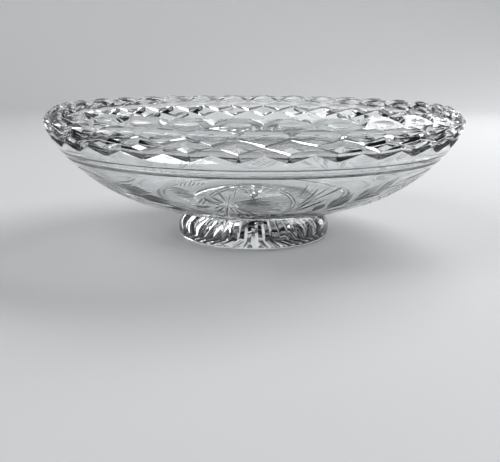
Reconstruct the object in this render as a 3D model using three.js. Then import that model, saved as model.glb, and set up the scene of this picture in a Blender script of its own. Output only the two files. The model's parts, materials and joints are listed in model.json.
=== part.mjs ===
import * as THREE from 'three';

// A footed bowl of clear cut crystal, standing on its foot.
// Millimetres, +Z up. The origin is on the axis, at the face the foot rests on.
// Angles run from the front, -Y, towards +X.

// Foot: a solid pad of glass with a domed top, ground flat and star-cut below
const footRadius = 47;
const footContactRadius = 45.75;
const footEdgeHeight = 5.25;
const footHeight = 16.9;
const neckRadius = 38.8;
const starRays = 32;
const starRadius = 40;
const starDepth = 1.2;
const starGrooveSlope = 0.34;

// Merese: the flat wafer of glass between the foot and the bowl
const mereseRadius = 38.5;
const mereseThickness = 2.4;
const jointGap = 0.3;

// Bowl, outside: heights and drops are measured from its underside and from the tips of its teeth
const bowlHeight = 60.1;
const bowlRadius = 125;
const shoulderDrop = 7.5;
const rimRadius = 117;
const baseRadius = 61.9;
const baseRise = 1.6;
const beadWidth = 5.2;
const beadRelief = 0.9;

// Bowl, inside
const baseThickness = 6.6;
const wallThickness = 5.5;
const bandWallThickness = 7.6;
const rimLand = 3.6;

// Cutting: the toothed rim, the two rows of diamonds and the two turned rings below them
const toothCount = 32;
const firstToothAngle = THREE.MathUtils.degToRad(-3.4);
const notchDepth = 3.2;
const rimEdgeDrop = 1;
const bandDrop = 18.1;
const diamondHalfHeight = 4.05;
const upperDiamondRise = 5.4;
const diamondDepth = 2;
const lowerCutDepth = 1.3;
const lowerCutLip = 1.5;
const crossingHalfWidth = 0.25;
const ringDrops = [27.3, 23.9];
const ringWidth = 1.8;
const ringDepth = 0.7;

// Heights that follow from the sizes above
const mereseBottom = footHeight + jointGap;
const bowlBottom = mereseBottom + mereseThickness + jointGap;
const rimHeight = bowlBottom + bowlHeight;
const widestHeight = rimHeight - shoulderDrop;
const bandBottom = rimHeight - bandDrop;

const point = (radius, height) => new THREE.Vector2(radius, height);

// A closed solid turned about Z. Each row holds one point for each column of its repeating
// pattern, and the rows run from the axis below, up the outside, to the axis again.
function turnedSolid(rows, columns, firstAngle, lowPole, highPole) {
  const positions = [0, 0, lowPole];
  for (const row of rows) {
    for (let column = 0; column < columns; column += 1) {
      const angle = firstAngle + (2 * Math.PI * column) / columns;
      const { x: radius, y: height } = row[column % row.length];
      positions.push(radius * Math.sin(angle), -radius * Math.cos(angle), height);
    }
  }
  positions.push(0, 0, highPole);
  const vertex = (row, column) => 1 + row * columns + (column % columns);
  const lastRow = rows.length - 1;
  const highPoleVertex = 1 + rows.length * columns;
  const index = [];
  for (let column = 0; column < columns; column += 1) {
    index.push(0, vertex(0, column + 1), vertex(0, column));
    for (let row = 0; row < lastRow; row += 1) {
      const low = vertex(row, column);
      const lowNext = vertex(row, column + 1);
      const high = vertex(row + 1, column);
      const highNext = vertex(row + 1, column + 1);
      index.push(low, lowNext, highNext, low, highNext, high);
    }
    index.push(highPoleVertex, vertex(lastRow, column), vertex(lastRow, column + 1));
  }
  const geometry = new THREE.BufferGeometry();
  geometry.setAttribute('position', new THREE.Float32BufferAttribute(positions, 3));
  geometry.setIndex(index);
  geometry.computeVertexNormals();
  return geometry;
}

const plainRow = (radius, height) => [point(radius, height)];

// The bowl's outline from the edge of its base to its widest circle
const baseEdge = point(baseRadius, bowlBottom + baseRise);
const outline = new THREE.CubicBezierCurve(
  baseEdge,
  point(baseRadius + 0.64 * (bowlRadius - baseRadius), baseEdge.y + 0.175 * (widestHeight - baseEdge.y)),
  point(bowlRadius, widestHeight - 0.175 * (widestHeight - baseEdge.y)),
  point(bowlRadius, widestHeight),
);

// Where the outline reaches a height, as a fraction of its length parameter
function outlineAt(height) {
  let low = 0;
  let high = 1;
  for (let step = 0; step < 40; step += 1) {
    const middle = (low + high) / 2;
    if (outline.getPoint(middle).y < height) low = middle;
    else high = middle;
  }
  return (low + high) / 2;
}

// The shoulder curls in from the widest circle to the rim
function shoulderRadius(widest, rim, height) {
  const rise = (height - widestHeight) / shoulderDrop;
  return widest - (widest - rim) * rise ** 1.5;
}

function outerRadius(height) {
  if (height > widestHeight) return shoulderRadius(bowlRadius, rimRadius, height);
  return outline.getPoint(outlineAt(height)).x;
}

// The inner wall keeps its distance from the outline, and is thicker behind the deep cutting
function innerPoint(t) {
  const outer = outline.getPoint(t);
  const along = outline.getTangent(t);
  const wall = THREE.MathUtils.lerp(wallThickness, bandWallThickness, t);
  return point(outer.x - along.y * wall, outer.y + along.x * wall);
}

// One row of the cutting: the heights and depths at a tooth's middle, beside it and at the
// notch, set round the rim so that the pattern mirrors itself in each tooth
function cutRow(heights, depths) {
  const [tooth, side, notch] = heights.map((height, place) => point(outerRadius(height) - depths[place], height));
  return [tooth, side, notch, side];
}

function ringRows(drop) {
  const height = rimHeight - drop;
  return [
    plainRow(outerRadius(height - ringWidth / 2), height - ringWidth / 2),
    plainRow(outerRadius(height) - ringDepth, height),
    plainRow(outerRadius(height + ringWidth / 2), height + ringWidth / 2),
  ];
}

// Mitre cuts climb from tooth to tooth and cross, which leaves two rows of pointed diamonds,
// the second half a step round from the first, and then the teeth
function cuttingRows() {
  const step = diamondHalfHeight;
  const gap = crossingHalfWidth;
  const half = diamondDepth / 2;
  const crossing = bandBottom + step;
  const upperCrossing = crossing + step;
  const upperPeakSide = (upperCrossing + widestHeight) / 2;
  const notchFoot = upperCrossing + upperDiamondRise;
  const notchHeight = rimHeight - notchDepth;
  const toothCrest = notchFoot - gap;
  const toothBevel = (toothCrest + rimHeight) / 2;
  const lowerCut = [bandBottom, bandBottom + step / 2, crossing - gap];
  return [
    cutRow(lowerCut.map((height) => height - lowerCutLip), [0, 0, 0]),
    cutRow(lowerCut, [lowerCutDepth, lowerCutDepth, diamondDepth]),
    cutRow([crossing, crossing, crossing], [0, half, diamondDepth]),
    cutRow([upperCrossing - gap, crossing + step / 2, crossing + gap], [diamondDepth, diamondDepth, diamondDepth]),
    cutRow([upperCrossing, upperPeakSide, widestHeight], [diamondDepth, half, 0]),
    cutRow(
      [upperCrossing + gap, upperCrossing + upperDiamondRise / 2, notchFoot - gap],
      [diamondDepth, diamondDepth, diamondDepth],
    ),
    cutRow([toothCrest, toothCrest + gap, notchFoot], [0, half, diamondDepth]),
    cutRow([toothBevel, toothBevel, notchFoot + gap], [0, 0, half]),
    cutRow([rimHeight, rimHeight - notchDepth / 4, notchHeight], [0, 0, half]),
  ];
}

function bowlGeometry() {
  const rows = [
    plainRow(baseRadius - 2 * beadWidth, bowlBottom),
    plainRow(baseRadius - beadWidth, bowlBottom + beadRelief / 2),
    plainRow(baseRadius - beadWidth / 2, bowlBottom + (baseRise - beadRelief) / 2),
  ];
  const [lowerRing, upperRing] = ringDrops;
  const lowerRingStart = outlineAt(rimHeight - lowerRing - ringWidth / 2);
  const bodySteps = 9;
  for (let step = 0; step < bodySteps; step += 1) {
    const { x, y } = outline.getPoint((lowerRingStart * step) / bodySteps);
    rows.push(plainRow(x, y));
  }
  rows.push(...ringRows(lowerRing), ...ringRows(upperRing), ...cuttingRows());
  rows.push(plainRow(rimRadius - rimLand, rimHeight - rimEdgeDrop));
  const innerWidest = bowlRadius - bandWallThickness;
  const shoulderMiddle = rimHeight - shoulderDrop / 2;
  rows.push(plainRow(shoulderRadius(innerWidest, rimRadius - rimLand, shoulderMiddle), shoulderMiddle));
  const innerSteps = 9;
  for (let step = innerSteps; step >= 0; step -= 1) {
    const { x, y } = innerPoint(step / innerSteps);
    rows.push(plainRow(x, y));
  }
  return turnedSolid(rows, toothCount * 4, firstToothAngle, bowlBottom, bowlBottom + baseThickness);
}

function mereseGeometry() {
  const top = mereseBottom + mereseThickness;
  const rounding = mereseThickness / 4;
  const rows = [
    plainRow(mereseRadius - rounding, mereseBottom),
    plainRow(mereseRadius, mereseBottom + rounding),
    plainRow(mereseRadius, top - rounding),
    plainRow(mereseRadius - rounding, top),
  ];
  return turnedSolid(rows, starRays * 2, firstToothAngle, mereseBottom, top);
}

// The star's rays are mitre cuts that deepen towards the middle, where their walls meet
function starRow(radius) {
  const depth = starDepth * Math.sqrt(1 - (radius / starRadius) ** 2);
  const halfPitch = (Math.PI * radius) / starRays;
  const ridge = Math.max(0, depth - halfPitch * starGrooveSlope);
  return [point(radius, depth), point(radius, ridge)];
}

function footGeometry() {
  const dome = new THREE.CubicBezierCurve(
    point(footRadius, footEdgeHeight),
    point(footRadius, footEdgeHeight + 0.45 * (footHeight - footEdgeHeight)),
    point(neckRadius + 0.57 * (footRadius - neckRadius), footEdgeHeight + 0.8 * (footHeight - footEdgeHeight)),
    point(neckRadius, footHeight),
  );
  const rows = [];
  for (const share of [0.12, 0.3, 0.5, 0.75, 0.92, 1]) rows.push(starRow(share * starRadius));
  rows.push(
    plainRow(footContactRadius, 0),
    plainRow((footContactRadius + 3 * footRadius) / 4, footEdgeHeight / 3),
  );
  for (const { x, y } of dome.getPoints(7)) rows.push(plainRow(x, y));
  return turnedSolid(rows, starRays * 2, firstToothAngle, starDepth, footHeight);
}

function glassPiece(name, geometry, color) {
  const material = new THREE.MeshStandardMaterial({ color, roughness: 0.05, metalness: 0 });
  const piece = new THREE.Mesh(geometry, material);
  piece.name = name;
  return piece;
}

const crystalBowl = new THREE.Group();
crystalBowl.add(glassPiece('bowl', bowlGeometry(), 0xeef2f2));
crystalBowl.add(glassPiece('merese', mereseGeometry(), 0xe6ecec));
crystalBowl.add(glassPiece('foot', footGeometry(), 0xe9eeee));

export default crystalBowl;
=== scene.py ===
import json
import math

import bpy
from mathutils import Matrix, Vector

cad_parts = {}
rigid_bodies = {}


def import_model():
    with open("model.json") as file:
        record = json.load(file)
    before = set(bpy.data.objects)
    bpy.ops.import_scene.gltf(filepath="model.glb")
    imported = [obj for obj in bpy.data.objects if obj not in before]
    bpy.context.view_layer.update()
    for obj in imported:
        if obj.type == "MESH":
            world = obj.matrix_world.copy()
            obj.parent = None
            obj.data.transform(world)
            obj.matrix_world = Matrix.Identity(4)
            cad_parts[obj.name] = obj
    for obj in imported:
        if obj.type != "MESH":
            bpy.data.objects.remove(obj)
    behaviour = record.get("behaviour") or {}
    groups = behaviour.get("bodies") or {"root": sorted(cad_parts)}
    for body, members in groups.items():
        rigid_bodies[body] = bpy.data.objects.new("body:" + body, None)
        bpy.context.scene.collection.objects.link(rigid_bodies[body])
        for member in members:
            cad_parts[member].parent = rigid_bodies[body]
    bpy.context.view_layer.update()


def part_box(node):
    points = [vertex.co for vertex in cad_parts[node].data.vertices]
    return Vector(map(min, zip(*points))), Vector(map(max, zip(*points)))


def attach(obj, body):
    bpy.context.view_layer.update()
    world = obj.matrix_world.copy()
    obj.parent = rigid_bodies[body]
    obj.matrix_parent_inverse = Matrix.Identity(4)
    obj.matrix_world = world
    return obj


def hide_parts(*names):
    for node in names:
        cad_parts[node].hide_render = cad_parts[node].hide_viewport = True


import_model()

# Camera
# It stands a little above the rim, in front of the bowl, and looks slightly down. Its lens is a
# normal one for 36 mm film.
mm = 0.001
camera_place = (0, -447.6 * mm, 105.4 * mm)
camera_pitch = math.radians(-13.22)
camera_roll = math.radians(0.38)
lens_length = 52.05
sideways_shift = -0.0068
bpy.ops.object.camera_add(location=camera_place)
camera = bpy.context.active_object
level = Matrix.Rotation(math.pi / 2, 4, "X")
tilt = Matrix.Rotation(camera_pitch, 4, "X")
roll = Matrix.Rotation(camera_roll, 4, "Z")
camera.rotation_euler = (level @ tilt @ roll).to_euler()
camera.data.lens = lens_length
camera.data.shift_x = sideways_shift
bpy.context.scene.camera = camera

# Studio
# A pale floor that curves up into a pale wall all round, open above, with soft boxes over it.
# The glass shows the pale wall through its clear parts and the darker air above in its facets.
bpy.context.scene.view_settings.view_transform = "Standard"
studio_radius = 1.7
studio_height = 0.6
cove_radius = 0.45
floor_gap = 0.05 * mm
studio_color = (0.78, 0.785, 0.79, 1)
ceiling_color = (0.2, 0.205, 0.215, 1)


def new_material(name):
    """A node material with its shader and a noise pattern fixed to the piece."""
    made = bpy.data.materials.new(name)
    made.use_nodes = True
    shader = made.node_tree.nodes["Principled BSDF"]
    place = made.node_tree.nodes.new("ShaderNodeTexCoord")
    noise = made.node_tree.nodes.new("ShaderNodeTexNoise")
    made.node_tree.links.new(place.outputs["Object"], noise.inputs["Vector"])
    return made, shader, noise


def add_node(material, kind, source, target, **values):
    """Puts a node between two sockets and sets its unlinked inputs."""
    node = material.node_tree.nodes.new(kind)
    for name, value in values.items():
        node.inputs[name.replace("_", " ")].default_value = value
    entry = {"ShaderNodeMapRange": "Value", "ShaderNodeBump": "Height"}[kind]
    material.node_tree.links.new(source, node.inputs[entry])
    material.node_tree.links.new(node.outputs[0], target)


paper, paper_shader, paper_noise = new_material("studio_paper")
paper_shader.inputs["Base Color"].default_value = studio_color
paper_shader.inputs["Roughness"].default_value = 0.7
paper_noise.inputs["Scale"].default_value = 60
add_node(paper, "ShaderNodeBump", paper_noise.outputs["Fac"], paper_shader.inputs["Normal"], Strength=0.02)

bpy.ops.object.select_all(action="DESELECT")
bpy.ops.mesh.primitive_circle_add(
    vertices=96,
    radius=studio_radius,
    fill_type="NGON",
    location=(0, 0, -floor_gap),
)
floor = bpy.context.active_object
floor.name = "studio_floor"
bpy.ops.object.mode_set(mode="EDIT")
bpy.ops.mesh.extrude_region_move(TRANSFORM_OT_translate={"value": (0, 0, studio_height)})
bpy.ops.mesh.delete(type="ONLY_FACE")
bpy.ops.object.mode_set(mode="OBJECT")
for edge in floor.data.edges:
    edge.select = all(abs(floor.data.vertices[end].co.z) < mm for end in edge.vertices)
bpy.ops.object.mode_set(mode="EDIT")
bpy.ops.mesh.bevel(offset=cove_radius, segments=16, affect="EDGES")
bpy.ops.mesh.select_all(action="SELECT")
bpy.ops.mesh.normals_make_consistent(inside=True)
bpy.ops.object.mode_set(mode="OBJECT")
bpy.ops.object.shade_smooth()
floor.data.materials.append(paper)

air = bpy.data.worlds.new("studio_air")
bpy.context.scene.world = air
air.use_nodes = True
air.node_tree.nodes["Background"].inputs["Color"].default_value = ceiling_color
air.node_tree.nodes["Background"].inputs["Strength"].default_value = 1


def soft_box(name, place, width, height, power):
    """A large rectangular lamp that faces the bowl."""
    bpy.ops.object.light_add(type="AREA", location=place)
    lamp = bpy.context.active_object
    lamp.name = name
    lamp.data.shape = "RECTANGLE"
    lamp.data.size = width
    lamp.data.size_y = height
    lamp.data.energy = power
    lamp.rotation_euler = (-Vector(place)).to_track_quat("-Z", "Y").to_euler()


soft_box("key_box", place=(0.7, 0.6, 1.05), width=1.3, height=0.6, power=12.5)
soft_box("fill_box", place=(-0.85, -0.5, 1.05), width=0.8, height=0.8, power=5)
soft_box("back_box", place=(1.1, 0.95, 0.55), width=0.4, height=0.9, power=4.5)

# Foot
# The real foot is a solid pad of clear lead crystal, pressed hot to a dome and ground flat below.
# The cutter then runs a mitre wheel right across its underside sixteen times, for a star.
foot_radius = 47 * mm
foot_contact_radius = 45.75 * mm
foot_edge_height = 5.25 * mm
neck_radius = 38.8 * mm
foot_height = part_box("foot")[1].z
joint_gap = 0.02 * mm
underside_hollow = 0.4 * mm
hollow_lip = 1.2 * mm
star_rays = 32
star_radius = 40 * mm
star_depth = 1.2 * mm
star_slope = 0.34
first_tooth = math.radians(-3.4)
spin_steps = 160


def bezier_places(ends_and_handles, count):
    """Points along one cubic curve through four (radius, height) points, the first left out."""
    a, b, c, d = [Vector(place) for place in ends_and_handles]
    places = []
    for step in range(1, count + 1):
        t = step / count
        s = 1 - t
        places.append(s**3 * a + 3 * s * s * t * b + 3 * s * t * t * c + t**3 * d)
    return places


def turned_blank(name, section):
    """Draws a half section of (radius, height) points and spins it about Z into a closed solid."""
    bpy.ops.object.select_all(action="DESELECT")
    bpy.ops.curve.primitive_bezier_curve_add()
    blank = bpy.context.active_object
    blank.name = name
    blank.data.splines.clear()
    line = blank.data.splines.new("POLY")
    line.points.add(len(section) - 1)
    for point, (radius, height) in zip(line.points, section):
        point.co = (radius, 0, height, 1)
    bpy.ops.object.convert(target="MESH")
    bpy.ops.object.mode_set(mode="EDIT")
    bpy.ops.mesh.select_all(action="SELECT")
    bpy.ops.mesh.spin(steps=spin_steps, angle=2 * math.pi, center=(0, 0, 0), axis=(0, 0, 1))
    bpy.ops.mesh.select_all(action="SELECT")
    bpy.ops.mesh.remove_doubles(threshold=0.002 * mm)
    bpy.ops.mesh.normals_make_consistent(inside=False)
    bpy.ops.object.mode_set(mode="OBJECT")
    return blank


def cut(piece, cutters):
    """Takes the cutters' shape out of the piece, whose new faces get the cutters' materials."""
    tray = bpy.data.collections.new("cutters")
    for cutter in cutters:
        for old in list(cutter.users_collection):
            old.objects.unlink(cutter)
        tray.objects.link(cutter)
    bpy.context.view_layer.update()
    bpy.ops.object.select_all(action="DESELECT")
    piece.select_set(True)
    bpy.context.view_layer.objects.active = piece
    bpy.ops.object.modifier_add(type="BOOLEAN")
    boolean = piece.modifiers[-1]
    boolean.operation = "DIFFERENCE"
    boolean.solver = "MANIFOLD"
    boolean.operand_type = "COLLECTION"
    boolean.collection = tray
    boolean.material_mode = "TRANSFER"
    bpy.ops.object.modifier_apply(modifier=boolean.name)
    for cutter in cutters:
        bpy.data.objects.remove(cutter)
    bpy.data.collections.remove(tray)


def swept_cutter(name, stations):
    """A closed cutter through rings of points, one ring for each station of the wheel's path."""
    bpy.ops.object.select_all(action="DESELECT")
    bpy.ops.mesh.primitive_circle_add(vertices=len(stations[0]), radius=mm, fill_type="NGON")
    cutter = bpy.context.active_object
    cutter.name = name
    bpy.ops.object.mode_set(mode="EDIT")
    for ring in stations[1:]:
        bpy.ops.mesh.extrude_region_move(TRANSFORM_OT_translate={"value": (0, 0, mm)})
    bpy.ops.object.mode_set(mode="OBJECT")
    places = [place for ring in stations for place in ring]
    for vertex, place in zip(cutter.data.vertices, places):
        vertex.co = place
    bpy.ops.object.mode_set(mode="EDIT")
    bpy.ops.mesh.select_all(action="SELECT")
    bpy.ops.mesh.normals_make_consistent(inside=False)
    bpy.ops.object.mode_set(mode="OBJECT")
    cutter.data.materials.append(clear_glass)
    return cutter


def turned_copies(cutter, count, whole=2 * math.pi):
    """The cutter and its copies, set round Z at even steps."""
    copies = [cutter]
    for step in range(1, count):
        copy = cutter.copy()
        copy.data = cutter.data.copy()
        copy.data.transform(Matrix.Rotation(whole * step / count, 4, "Z"))
        bpy.context.collection.objects.link(copy)
        copies.append(copy)
    return copies


def crystal(name, tint_and_painted_shade, roughness, grain, grain_scale):
    """Lead crystal with the faint unevenness of fire-polished or cut glass. A grey tint is painted shade.
    """
    made, shader, noise = new_material(name)
    shader.inputs["Base Color"].default_value = tint_and_painted_shade
    shader.inputs["Transmission Weight"].default_value = 1
    shader.inputs["IOR"].default_value = 1.54
    noise.inputs["Scale"].default_value = grain_scale
    noise.inputs["Detail"].default_value = 3
    pattern = noise.outputs["Fac"]
    add_node(
        made,
        "ShaderNodeMapRange",
        pattern,
        shader.inputs["Roughness"],
        To_Min=roughness[0],
        To_Max=roughness[1],
    )
    add_node(made, "ShaderNodeBump", pattern, shader.inputs["Normal"], Strength=grain, Distance=mm)
    return made


facet_angle = math.radians(24)


def polish(piece):
    """Drops the loose chips that crossing cuts leave, and shades curves smooth and cuts sharp."""
    bpy.ops.object.select_all(action="DESELECT")
    piece.select_set(True)
    bpy.context.view_layer.objects.active = piece
    bpy.ops.object.mode_set(mode="EDIT")
    bpy.ops.mesh.select_mode(type="VERT")
    bpy.ops.mesh.select_all(action="DESELECT")
    bpy.ops.object.mode_set(mode="OBJECT")
    outermost = max(piece.data.vertices, key=lambda vertex: vertex.co.x)
    outermost.select = True
    bpy.ops.object.mode_set(mode="EDIT")
    bpy.ops.mesh.select_linked()
    bpy.ops.mesh.select_all(action="INVERT")
    bpy.ops.mesh.delete(type="VERT")
    bpy.ops.object.mode_set(mode="OBJECT")
    bpy.ops.object.shade_smooth_by_angle(angle=facet_angle)


clear_glass = crystal(
    "clear_crystal",
    tint_and_painted_shade=(0.965, 0.98, 0.98, 1),
    roughness=(0, 0.012),
    grain=0.004,
    grain_scale=45,
)

# A weld has no surface of its own, so light passes straight from one piece into the next.
hot_weld, weld_shader, _ = new_material("hot_weld")
weld_shader.inputs["Alpha"].default_value = 0
weld_radius = 37.4 * mm
weld_flatness = 0.005 * mm
weld_margin = 0.01 * mm


def weld(piece, height):
    """Gives the piece's flat faces at the height, out to the weld's radius, the weld's material."""
    piece.data.materials.append(hot_weld)
    welded = len(piece.data.materials) - 1
    for face in piece.data.polygons:
        places = [piece.data.vertices[corner].co for corner in face.vertices]
        is_level = all(abs(place.z - height) < weld_flatness for place in places)
        is_inside = all(place.xy.length < weld_radius + weld_margin for place in places)
        if is_level and is_inside:
            face.material_index = welded


# The half section runs from the hollow below, round the contact ring and the edge, up the dome.
# The curves' handles are set as a length or as a share of the foot's own sizes.
edge_handle_out = 0.8 * mm
edge_handle_up = 0.2 * mm
edge_handle_down = 0.5
dome_low_handle = 0.45
dome_high_handle_out = 0.57
dome_high_handle_up = 0.8
foot_rise = foot_height - foot_edge_height
foot_section = [
    (0, underside_hollow),
    (star_radius, underside_hollow),
    (star_radius + hollow_lip, 0),
    (foot_contact_radius, 0),
]
foot_section += bezier_places(
    [
        (foot_contact_radius, 0),
        (foot_contact_radius + edge_handle_out, edge_handle_up),
        (foot_radius, edge_handle_down * foot_edge_height),
        (foot_radius, foot_edge_height),
    ],
    count=8,
)
foot_section += bezier_places(
    [
        (foot_radius, foot_edge_height),
        (foot_radius, foot_edge_height + dome_low_handle * foot_rise),
        (
            neck_radius + dome_high_handle_out * (foot_radius - neck_radius),
            foot_edge_height + dome_high_handle_up * foot_rise,
        ),
        (neck_radius, foot_height),
    ],
    count=24,
)
foot_section += [(weld_radius, foot_height), (0, foot_height)]
foot = turned_blank("crystal_foot", foot_section)
foot.data.materials.append(clear_glass)

# Each cut of the star runs right across it and is deepest in the middle.
star_stations = []
star_steps = 40
cutter_drop = 4 * mm
for step in range(star_steps + 1):
    angle = math.pi * step / star_steps
    along = -star_radius * math.cos(angle)
    depth = star_depth * math.sin(angle)
    half_width = (depth + cutter_drop) / star_slope
    star_stations.append(
        [
            (along, 0, depth),
            (along, half_width, -cutter_drop),
            (along, -half_width, -cutter_drop),
        ]
    )
star_cutter = swept_cutter("mitre_wheel", star_stations)
star_cutter.data.transform(Matrix.Rotation(first_tooth + math.pi / star_rays, 4, "Z"))
cut(foot, turned_copies(star_cutter, star_rays // 2, math.pi))

# The cuts leave corners that all but touch where they meet, and these are merged.
bpy.ops.object.mode_set(mode="EDIT")
bpy.ops.mesh.select_all(action="SELECT")
bpy.ops.mesh.remove_doubles(threshold=0.001 * mm)
bpy.ops.object.mode_set(mode="OBJECT")
weld(foot, foot_height)
polish(foot)
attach(foot, "root")
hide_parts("foot")

# Merese
# The real merese is a wafer of the same hot glass, dropped on the foot to take the bowl. Its edge
# rounds off by itself, and it is welded to the foot below and to the bowl above.
bowl_low, bowl_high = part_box("bowl")
merese_radius = 38.5 * mm
merese_bottom = foot_height + joint_gap
merese_top = bowl_low.z - joint_gap
merese_middle = (merese_bottom + merese_top) / 2
merese_rounding = merese_radius - weld_radius
merese_edge_steps = 12
merese_section = [(0, merese_bottom), (merese_radius - merese_rounding, merese_bottom)]
for step in range(1, merese_edge_steps + 1):
    turn = math.pi * step / merese_edge_steps
    merese_section.append(
        (
            merese_radius - merese_rounding * (1 - math.sin(turn)),
            merese_middle - (merese_middle - merese_bottom) * math.cos(turn),
        )
    )
merese_section.append((0, merese_top))
merese = turned_blank("crystal_merese", merese_section)
merese.data.materials.append(clear_glass)
weld(merese, merese_bottom)
weld(merese, merese_top)
polish(merese)
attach(merese, "root")
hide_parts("merese")

# Bowl
# The real bowl is blown thick in one piece of lead crystal, welded to the merese, and its rim is
# ground level. Its outside is then turned, mitre cut and polished, and the flowers are engraved
# last with small stone wheels.
bowl_radius = bowl_high.x
bowl_bottom = bowl_low.z
rim_height = bowl_high.z
shoulder_drop = 7.5 * mm
shoulder_power = 1.5
rim_radius = 117 * mm
base_radius = 61.9 * mm
base_rise = 1.6 * mm
bead_width = 5.2 * mm
bead_relief = 0.7 * mm
base_flat_radius = base_radius - 1.7 * bead_width
base_thickness = 6.6 * mm
wall_thickness = 5.5 * mm
band_wall_thickness = 7.6 * mm
rim_land = 3.6 * mm
rim_edge_drop = 1 * mm
widest_height = rim_height - shoulder_drop
base_edge = Vector((base_radius, bowl_bottom + base_rise))
outline_rise = widest_height - base_edge.y
outline_low_handle = 0.64
outline_end_handle = 0.175
outline_steps = 60
outline_places = [base_edge]
outline_places += bezier_places(
    [
        base_edge,
        (
            base_radius + outline_low_handle * (bowl_radius - base_radius),
            base_edge.y + outline_end_handle * outline_rise,
        ),
        (bowl_radius, widest_height - outline_end_handle * outline_rise),
        (bowl_radius, widest_height),
    ],
    outline_steps,
)


def shoulder_radius(height):
    """The outside's radius where it curls in from the widest circle to the rim."""
    rise = (height - widest_height) / shoulder_drop
    return bowl_radius - (bowl_radius - rim_radius) * rise**shoulder_power


def outer_radius(height):
    """The outside's radius at a height, from the edge of the base to the rim."""
    if height > widest_height:
        return shoulder_radius(min(height, rim_height))
    for low, high in zip(outline_places, outline_places[1:]):
        if height <= high.y:
            return low.x + (high.x - low.x) * (height - low.y) / (high.y - low.y)
    return bowl_radius


def on_outside(azimuth, height):
    """A point of the outside and the direction out of the glass there. Azimuth 0 is at -Y."""
    step = 0.05 * mm
    slope = (outer_radius(height + step) - outer_radius(height - step)) / (2 * step)
    outward = Vector((math.sin(azimuth), -math.cos(azimuth), 0))
    normal = (outward - slope * Vector((0, 0, 1))).normalized()
    return outward * outer_radius(height) + Vector((0, 0, height)), normal


# The half section runs from the base over its bead, up the outside, across the rim's land, down
# the inside of the wall and in over the floor.
bowl_section = [
    Vector((0, bowl_bottom)),
    Vector((weld_radius, bowl_bottom)),
    Vector((base_flat_radius, bowl_bottom)),
]
bead_steps = 10
for step in range(bead_steps):
    share = step / bead_steps
    lift = bead_relief * (0.5 + 0.5 * math.cos(2 * math.pi * share))
    radius = base_radius - bead_width * (1 - share)
    height = bowl_bottom + lift * (1 - share) + base_rise * share**3
    bowl_section.append(Vector((radius, height)))
bowl_section += outline_places
shoulder_steps = 12
for step in range(1, shoulder_steps + 1):
    height = widest_height + shoulder_drop * step / shoulder_steps
    bowl_section.append(Vector((shoulder_radius(height), height)))
bowl_section.append(Vector((rim_radius - rim_land, rim_height - rim_edge_drop)))
inner_widest = bowl_radius - band_wall_thickness
inner_curl = inner_widest - rim_radius + rim_land
for step in range(1, shoulder_steps):
    share = 1 - step / shoulder_steps
    radius = inner_widest - inner_curl * share**shoulder_power
    height = widest_height + (shoulder_drop - rim_edge_drop) * share
    bowl_section.append(Vector((radius, height)))
for step in range(outline_steps, -1, -2):
    place = outline_places[step]
    ahead = outline_places[min(step + 1, outline_steps)]
    behind = outline_places[max(step - 1, 0)]
    along = (ahead - behind).normalized()
    wall = wall_thickness + (band_wall_thickness - wall_thickness) * step / outline_steps
    bowl_section.append(place + wall * Vector((-along.y, along.x)))
inner_edge = bowl_section[-1]
inner_slope = (bowl_section[-1] - bowl_section[-2]).normalized()
inner_floor = Vector((0, bowl_bottom + base_thickness))
floor_edge_handle = 0.35
floor_middle_handle = 0.45
bowl_section += bezier_places(
    [
        inner_edge,
        inner_edge + floor_edge_handle * inner_slope * inner_edge.x,
        Vector((floor_middle_handle * inner_edge.x, inner_floor.y)),
        inner_floor,
    ],
    count=16,
)
bowl = turned_blank("crystal_bowl", bowl_section)
bowl.data.materials.append(clear_glass)


def cut_ring(drop, half_width, depth):
    """Grinds one round-bottomed ring into the bowl, at its drop below the rim."""
    place, normal = on_outside(0, rim_height - drop)
    wheel_radius = (half_width**2 + depth**2) / (2 * depth)
    centre = place + normal * (wheel_radius - depth)
    bpy.ops.mesh.primitive_torus_add(
        major_radius=-centre.y,
        minor_radius=wheel_radius,
        major_segments=spin_steps,
        minor_segments=20,
        location=(0, 0, centre.z),
    )
    ring_cutter = bpy.context.active_object
    bpy.ops.object.transform_apply(location=True, rotation=True, scale=True)
    ring_cutter.data.materials.append(clear_glass)
    cut(bowl, [ring_cutter])


# The turned rings are ground with the bowl spinning: a wide one and a fine one above it.
cut_ring(drop=27.3 * mm, half_width=1.9 * mm, depth=0.85 * mm)
cut_ring(drop=23.9 * mm, half_width=0.7 * mm, depth=0.4 * mm)

# Mitre cuts climb both ways round and cross, which leaves a row of diamonds, one under each
# tooth. A cut starts under one tooth, ends under the next, and runs out at both ends.
tooth_count = 32
pitch = 2 * math.pi / tooth_count
band_bottom = rim_height - 18.1 * mm
diamond_half_height = 4.05 * mm
climb_halves = 2
mitre_depth = 2.7 * mm
mitre_half_width = 2.7 * mm
mitre_lip = 1.2 * mm
run_out = 0.22
mitre_steps = 22
glance_ahead = 0.02 / pitch


def on_climb(side, halves):
    """A point of a climbing cut, counted in half pitches from its start, and the way out there."""
    azimuth = first_tooth + side * halves * pitch / 2
    return on_outside(azimuth, band_bottom + diamond_half_height * halves)


def mitre_cutter(side):
    """One climbing cut. Side is 1 where it climbs to the right and -1 to the left."""
    stations = []
    for step in range(mitre_steps + 1):
        halves = -run_out + (climb_halves + 2 * run_out) * step / mitre_steps
        place, normal = on_climb(side, halves)
        ahead, _ = on_climb(side, halves + glance_ahead)
        across = normal.cross(ahead - place).normalized()
        inside = min(1, (halves + run_out) / run_out, (climb_halves + run_out - halves) / run_out)
        depth = mitre_depth * inside
        half_width = mitre_half_width * (depth + mitre_lip) / mitre_depth
        stations.append(
            [
                place - depth * normal,
                place + mitre_lip * normal + half_width * across,
                place + mitre_lip * normal - half_width * across,
            ]
        )
    return swept_cutter("mitre_wheel", stations)


for side in (1, -1):
    cut(bowl, turned_copies(mitre_cutter(side), tooth_count))


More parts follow.
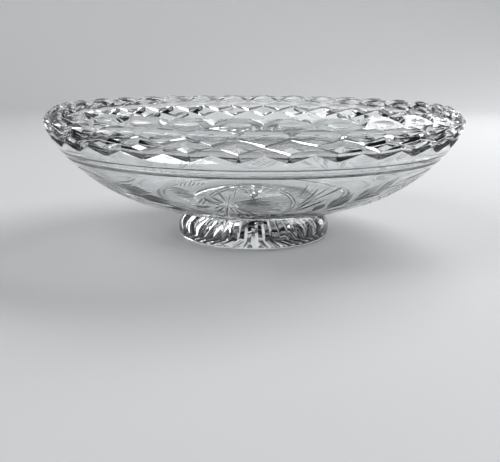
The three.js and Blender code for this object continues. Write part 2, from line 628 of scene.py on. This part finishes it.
def olive_cutter(azimuth, drop, radii, depth, segments):
    """A ball drawn out along the rim and sunk into the outside, at its drop below the rim.

    Its radii run across, up and out of the glass, and the depth is that of its middle.
    """
    place, normal = on_outside(azimuth, rim_height - drop)
    across = Vector((math.cos(azimuth), math.sin(azimuth), 0))
    stand = Matrix((across, normal.cross(across), normal)).transposed().to_4x4()
    stand.translation = place + (radii[2] - depth) * normal
    bpy.ops.object.select_all(action="DESELECT")
    bpy.ops.mesh.primitive_uv_sphere_add(segments=segments, ring_count=segments * 3 // 4, radius=1)
    olive = bpy.context.active_object
    olive.data.transform(stand @ Matrix.Diagonal((*radii, 1)))
    olive.data.materials.append(clear_glass)
    return olive


# Over each gap between two diamonds an oval lens is hollowed with the rounded edge of an olive
# wheel, and its middle once more with a small one.
gap_azimuth = first_tooth + pitch / 2
oval = olive_cutter(
    gap_azimuth,
    drop=7.4 * mm,
    radii=(16.5 * mm, 7 * mm, 6 * mm),
    depth=2 * mm,
    segments=48,
)
cut(bowl, turned_copies(oval, tooth_count))
eye = olive_cutter(
    gap_azimuth,
    drop=7.4 * mm,
    radii=(4 * mm, 1.6 * mm, 1.7 * mm),
    depth=2.3 * mm,
    segments=16,
)
cut(bowl, turned_copies(eye, tooth_count))

# Each tooth is hollowed at its tip in the same way.
tooth_hollow = olive_cutter(
    first_tooth,
    drop=2.9 * mm,
    radii=(9 * mm, 3.4 * mm, 3 * mm),
    depth=0.9 * mm,
    segments=24,
)
cut(bowl, turned_copies(tooth_hollow, tooth_count))

# The notches between the teeth are cut across the rim and stop at its inner edge. Half of the
# wheel's edge is given across and up from its lowest point, and the path of that point as radius
# and height, all in millimetres.
half_edge = [(0, 0), (1.4, 0.7), (3, 1.6), (5.2, 2.4), (8.2, 2.95), (12.6, 3.2), (12.6, 7)]
whole_edge = half_edge + [(-across, lift) for across, lift in reversed(half_edge[1:])]
notch_path = [(112.4, 78.8), (115, 77.4), (117, 76.8), (119.5, 76.3), (122, 76), (125.5, 75.8)]
notch_stations = []
for index, (radius, height) in enumerate(notch_path):
    before = Vector(notch_path[max(index - 1, 0)])
    after = Vector(notch_path[min(index + 1, len(notch_path) - 1)])
    along = (after - before).normalized()
    ring = []
    for across, lift in whole_edge:
        out = radius - lift * along.y
        up = height + lift * along.x
        ring.append(Vector((across * mm, -out * mm, up * mm)))
    notch_stations.append(ring)
notch_cutter = swept_cutter("rim_wheel", notch_stations)
notch_cutter.data.transform(Matrix.Rotation(gap_azimuth, 4, "Z"))
cut(bowl, turned_copies(notch_cutter, tooth_count))

# The frieze is engraved with small stone wheels, which leave short canoe-shaped cuts with a
# satin ground. Along it, x is the angle in degrees and y the radius in hundredths of the bowl's.
# Widths are in millimetres, and a cut's depth is a share of half its width.
# The satin cuts get a grey tint, which is painted shade that darkens them. The real frosted crystal is
# colourless.
satin_glass_with_painted_shade = crystal(
    "satin_crystal_painted_shade",
    tint_and_painted_shade=(0.5, 0.52, 0.54, 1),
    roughness=(0.25, 0.42),
    grain=0.1,
    grain_scale=2200,
)
depth_share = 0.55
tube_ratio = (1 + depth_share**2) / (2 * depth_share)
wheel_spread = 1.2
blunt_end = 0.03
canoe_power = 0.75
stroke_steps = 8
repeats = 3
strokes = []
punts = []


def stroke(x, y, heading, length, bend=0, width=0.9, tip=0.5):
    """A curved cut from (x, y), which turns by the bend over its length.

    Heading 0 runs right and 90 towards the rim. Tip is where along its length it is widest.
    """
    strokes.append((x, y, heading, length, bend, width, tip))


def stroke_to(x, y, end_x, end_y, bend=0, width=0.9, tip=0.5):
    """A cut between two points, which leaves the straight line by half the bend at each end."""
    length = math.dist((x, y), (end_x, end_y)) * (1 + math.radians(bend) ** 2 / 24)
    heading = math.degrees(math.atan2(end_y - y, end_x - x)) - bend / 2
    stroke(x, y, heading, length, bend, width, tip)


def stroke_from(x, y, gap, heading, length, bend, width, tip):
    """A cut that points away from (x, y) and starts at the gap from it."""
    angle = math.radians(heading)
    stroke(x + gap * math.cos(angle), y + gap * math.sin(angle), heading, length, bend, width, tip)


def arc(x, y, radius, first, sweep, width):
    """A cut round the centre (x, y), from its first angle on over the sweep."""
    start = math.radians(first)
    stroke(
        x + radius * math.cos(start),
        y + radius * math.sin(start),
        first + 90,
        radius * math.radians(sweep),
        sweep,
        width,
    )


def leaf(x, y, end_x, end_y, spread, blades, width):
    """A lobed leaf: blades that fan out of one point and curve back towards its tip.

    The spread is the angle between two blades, and those at the sides are shorter.
    """
    length = math.dist((x, y), (end_x, end_y))
    heading = math.degrees(math.atan2(end_y - y, end_x - x))
    shortening = 0.13
    curl_back = 1.1
    blade_width = 0.72 * width
    for blade in range(blades):
        side = blade - (blades - 1) / 2
        lean = side * spread
        reach = length * (1 - shortening * abs(side))
        stroke(x, y, heading + lean, reach, -curl_back * lean, blade_width, 0.56 + 0.03 * blade)


def stem_ring():
    """The curled stem: two lines of overlapping cuts round the flower, open on its lower left."""
    centre_x, centre_y, ring = -0.8, 74.7, 13.4
    for inset, width in ((0, 0.75), (1, 0.6)):
        for first, last in ((-50, 10), (0, 60), (52, 112), (104, 152)):
            arc(centre_x, centre_y, ring - inset, first, last - first, width)


def flower():
    """The flower: a ring of pearls for its eye, long petals below and a fan of fine rays."""
    eye_x, eye_y = -7.5, 75.5
    pearls = 9
    pearl_ring = 1.15
    pearl_width = 0.42
    punts.append((eye_x, eye_y, 0.9))
    for pearl in range(pearls):
        angle = math.radians(360 / pearls * pearl)
        x = eye_x + pearl_ring * math.cos(angle)
        y = eye_y + pearl_ring * math.sin(angle)
        punts.append((x, y, pearl_width))
    stroke_to(eye_x - 1, eye_y - 1.2, -14.3, 80.9, -62, 1.6, 0.6)
    for petal in (
        (-105, 13, 8, 0.9, 0.45),
        (-86, 7, 6, 0.7, 0.5),
        (-70, 12, -6, 1.3, 0.72),
        (-50, 16, -10, 1.5, 0.75),
        (-128, 6.5, 10, 0.9, 0.6),
        (-150, 5, 14, 0.8, 0.6),
        (70, 9, 8, 0.6, 0.7),
        (84, 6, -10, 0.5, 0.6),
        (101, 8.6, 4, 1.1, 0.68),
        (128, 5.6, 4, 1.2, 0.62),
        (150, 4.5, 10, 0.8, 0.6),
    ):
        stroke_from(eye_x, eye_y, 1.7, *petal)
    rays = 13
    first_heading = -62
    fan = 104
    for ray in range(rays):
        share = ray / (rays - 1)
        heading = first_heading + fan * share
        length = 10.5 + 2.6 * math.sin(math.pi * share)
        stroke_from(eye_x, eye_y, 1.6, heading, length, -0.82 * heading, 0.62, 0.6)


def stem_root():
    """The cuts between flower and stem, the stem's root of four punts, and the cuts it sends up."""
    for x, y, width in ((9.9, 63.5, 1.3), (8.3, 64.6, 0.8), (11.2, 62.4, 0.8), (11.6, 64.6, 0.7)):
        punts.append((x, y, width))
    for line in (
        (-4.6, 69.8, 6.4, 70.4, 34, 0.9, 0.4),
        (1.9, 68.6, 8.2, 66.9, 8, 1.4, 0.6),
        (4.2, 71, 9.4, 71.2, 0, 1, 0.6),
        (-6.2, 76.8, 2.6, 80.9, -10, 1.1, 0.7),
        (-5.8, 76.3, 5.6, 78.7, -22, 0.8, 0.6),
        (10.2, 65, 12.9, 71.5, 12, 0.8, 0.5),
        (12, 66.3, 22, 79.3, 10, 1.5, 0.62),
        (12.6, 69, 17.6, 79.6, 8, 1.4, 0.62),
        (16.8, 77.8, 24.2, 86, 4, 1.7, 0.68),
        (13.4, 73.2, 17.2, 86.2, 10, 1.3, 0.62),
        (16, 79.5, 20.6, 86.8, 4, 0.8, 0.6),
        (12.4, 80.6, 13.7, 88.2, 5, 1.1, 0.6),
        (14.4, 79, 15.6, 86, 5, 0.6, 0.6),
    ):
        stroke_to(*line)


def spray(flip):
    """A stem that climbs from the stem's root to the next roundel, and the cuts beside it."""
    for x, y, end_x, end_y, bend, width, tip in (
        (14, 61, 25, 68, 14, 1.3, 0.5),
        (24, 67.2, 33.5, 75, 4, 1.3, 0.5),
        (32.5, 74, 46, 84.3, -12, 1.4, 0.5),
        (44.6, 83.6, 57, 87.4, -12, 1.3, 0.5),
        (14.8, 59.3, 30.4, 58.8, -24, 1.1, 0.5),
        (20.5, 63.4, 31.5, 62.6, -30, 1, 0.5),
        (25.9, 65, 35.8, 67.6, -14, 2.6, 0.4),
        (29, 66.4, 40.6, 70.2, -26, 1.1, 0.5),
        (30.5, 70.5, 41.5, 73.9, -30, 1.2, 0.5),
        (33.6, 74.2, 44.8, 77.9, -24, 2.3, 0.55),
        (36.5, 77.2, 45.4, 80.4, -22, 1.1, 0.55),
        (40, 80.2, 48.4, 82.6, -18, 1.3, 0.55),
        (15.5, 62.8, 24, 72.4, 24, 1.2, 0.5),
    ):
        stroke_to(flip * x, y, flip * end_x, end_y, flip * bend, width, tip)
    for x, y in ((44.6, 78.6), (32.3, 74.2), (26.4, 68.4)):
        punts.append((flip * x, y, 1.1))
    leaf(flip * 27.9, 60.6, flip * 37, 56.6, spread=16.25, blades=3, width=1.5)


def right_leaves():
    """Four leaves that grow from the right spray towards the rim."""
    leaf(26.4, 69.4, 29.4, 83.4, spread=16.25, blades=6, width=2)
    leaf(33.2, 75.4, 38, 86.2, spread=16.25, blades=5, width=1.9)
    leaf(39, 79.9, 43.2, 88.2, spread=16.25, blades=5, width=1.8)
    leaf(21.4, 66.6, 22.6, 76.4, spread=15, blades=4, width=1.7)


def left_leaves():
    """The leaves of the left spray, and the leaf pair and bud that fill the ground beside it."""
    leaf(-38.8, 76.2, -25.4, 74.4, spread=16.25, blades=6, width=2)
    leaf(-42.8, 82.2, -30, 80.2, spread=15, blades=5, width=1.9)
    leaf(-48.6, 82.2, -40.6, 69.6, spread=10, blades=4, width=1.9)
    leaf(-31.6, 68.4, -22.6, 66.6, spread=16.25, blades=4, width=1.6)
    stroke_to(-45, 83.6, -34.4, 85.4, 40, 1.1)
    stroke_to(-43.6, 84.4, -31.8, 88.2, 30, 0.9)
    leaf(-15.7, 80.8, -23.4, 81.3, spread=21.25, blades=4, width=1.1)
    leaf(-17.4, 83.4, -25.4, 84.2, spread=21.25, blades=4, width=1.1)
    for heading, length in ((-168, 3.6), (-140, 3), (-108, 2.8), (-76, 2.8), (-42, 3), (-14, 3.4)):
        stroke(-16.6, 73.8, heading, length, 0, 1.4, 0.6)
    stroke_to(-17.3, 75, -14.4, 80.4, -6, 0.9)
    stroke_to(-15.9, 74.6, -14, 78.6, -6, 0.8)
    stroke_to(-12.6, 66, -9.7, 69.4, 10, 1.3, 0.6)
    stroke_to(-13.6, 67.8, -10.2, 70, 0, 1, 0.6)
    for step in range(6):
        stroke_to(-19.6 + 1.2 * step, 86 + 0.25 * step, -18.2 + 1.2 * step, 88.6, 14, 0.6)


def rosette():
    """The roundel between two flowers: a double ring, crossing cuts in it, a punt in each cell."""
    centre_x, centre_y, ring = 60, 73.4, 14.2
    for inset, width in ((0, 1.1), (1.2, 0.7)):
        for first in range(0, 360, 60):
            arc(centre_x, centre_y, ring - inset, first, 68, width)
    filled = ring - 1.6
    spacing = 3.6
    crossing = 40
    cell_margin = 1.4
    cell_punt = 1.9
    for line in range(-3, 4):
        offset = line * spacing
        half_chord = math.sqrt(filled**2 - offset**2)
        for heading in (crossing, 180 - crossing):
            angle = math.radians(heading)
            start_x = centre_x - offset * math.sin(angle) - half_chord * math.cos(angle)
            start_y = centre_y + offset * math.cos(angle) - half_chord * math.sin(angle)
            stroke(start_x, start_y, heading, 2 * half_chord, width=1.3)
    lean = math.radians(crossing)
    cell = spacing / math.sin(2 * lean)
    for across in range(-4, 4):
        for along in range(-4, 4):
            x = (across - along) * cell * math.cos(lean)
            y = (across + along + 1) * cell * math.sin(lean)
            if math.hypot(x, y) < filled - cell_margin:
                punts.append((centre_x + x, centre_y + y, cell_punt))


def on_frieze(x, y):
    """A point of the frieze on the bowl's outside, and the direction out of the glass there."""
    radius = y * bowl_radius / 100
    for low, high in zip(outline_places, outline_places[1:]):
        if radius <= high.x:
            break
    height = low.y + (high.y - low.y) * (radius - low.x) / (high.x - low.x)
    return on_outside(math.radians(x), height)


def stone_cutters():
    """One tapered tube for each stroke, laid so that the part below the surface is its cut."""
    bpy.ops.object.select_all(action="DESELECT")
    bpy.ops.curve.primitive_bezier_curve_add()
    tubes = bpy.context.active_object
    tubes.data.splines.clear()
    tubes.data.bevel_depth = 1
    tubes.data.bevel_resolution = 3
    tubes.data.use_fill_caps = True
    for x, y, heading, length, bend, width, tip in strokes:
        line = tubes.data.splines.new("POLY")
        line.points.add(stroke_steps)
        power = math.log(0.5) / math.log(tip)
        for step, point in enumerate(line.points):
            share = step / stroke_steps
            swell = max(blunt_end, math.sin(math.pi * share**power) ** canoe_power)
            half_width = swell * wheel_spread * width / 2 * mm
            place, normal = on_frieze(x, y)
            point.co = (*(place + normal * half_width * (tube_ratio - depth_share)), 1)
            point.radius = half_width * tube_ratio
            angle = math.radians(heading + bend * (share + 0.5 / stroke_steps))
            x += length / stroke_steps * math.cos(angle)
            y += length / stroke_steps * math.sin(angle)
    bpy.ops.object.convert(target="MESH")
    tubes.data.materials.append(satin_glass_with_painted_shade)
    bpy.ops.object.mode_set(mode="EDIT")
    bpy.ops.mesh.select_all(action="SELECT")
    bpy.ops.mesh.remove_doubles(threshold=0.0005 * mm)
    bpy.ops.mesh.normals_make_consistent(inside=False)
    bpy.ops.mesh.separate(type="LOOSE")
    bpy.ops.object.mode_set(mode="OBJECT")
    return list(bpy.context.selected_objects)


def punt_cutters():
    """A small ball for each punt, set so that it leaves a round hollow of the wanted width."""
    balls = []
    for x, y, width in punts:
        place, normal = on_frieze(x, y)
        half_width = width / 2 * mm
        bpy.ops.mesh.primitive_uv_sphere_add(
            segments=12,
            ring_count=8,
            radius=half_width * tube_ratio,
            location=place + normal * half_width * (tube_ratio - depth_share),
        )
        ball = bpy.context.active_object
        ball.data.transform(ball.matrix_world)
        ball.matrix_world = Matrix()
        ball.data.materials.append(clear_glass)
        balls.append(ball)
    return balls


stem_ring()
flower()
stem_root()
spray(1)
spray(-1)
right_leaves()
left_leaves()
rosette()
engraving = []
for cutter in stone_cutters() + punt_cutters():
    engraving += turned_copies(cutter, repeats)
cut(bowl, engraving)

weld(bowl, bowl_bottom)
polish(bowl)
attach(bowl, "root")
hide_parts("bowl")
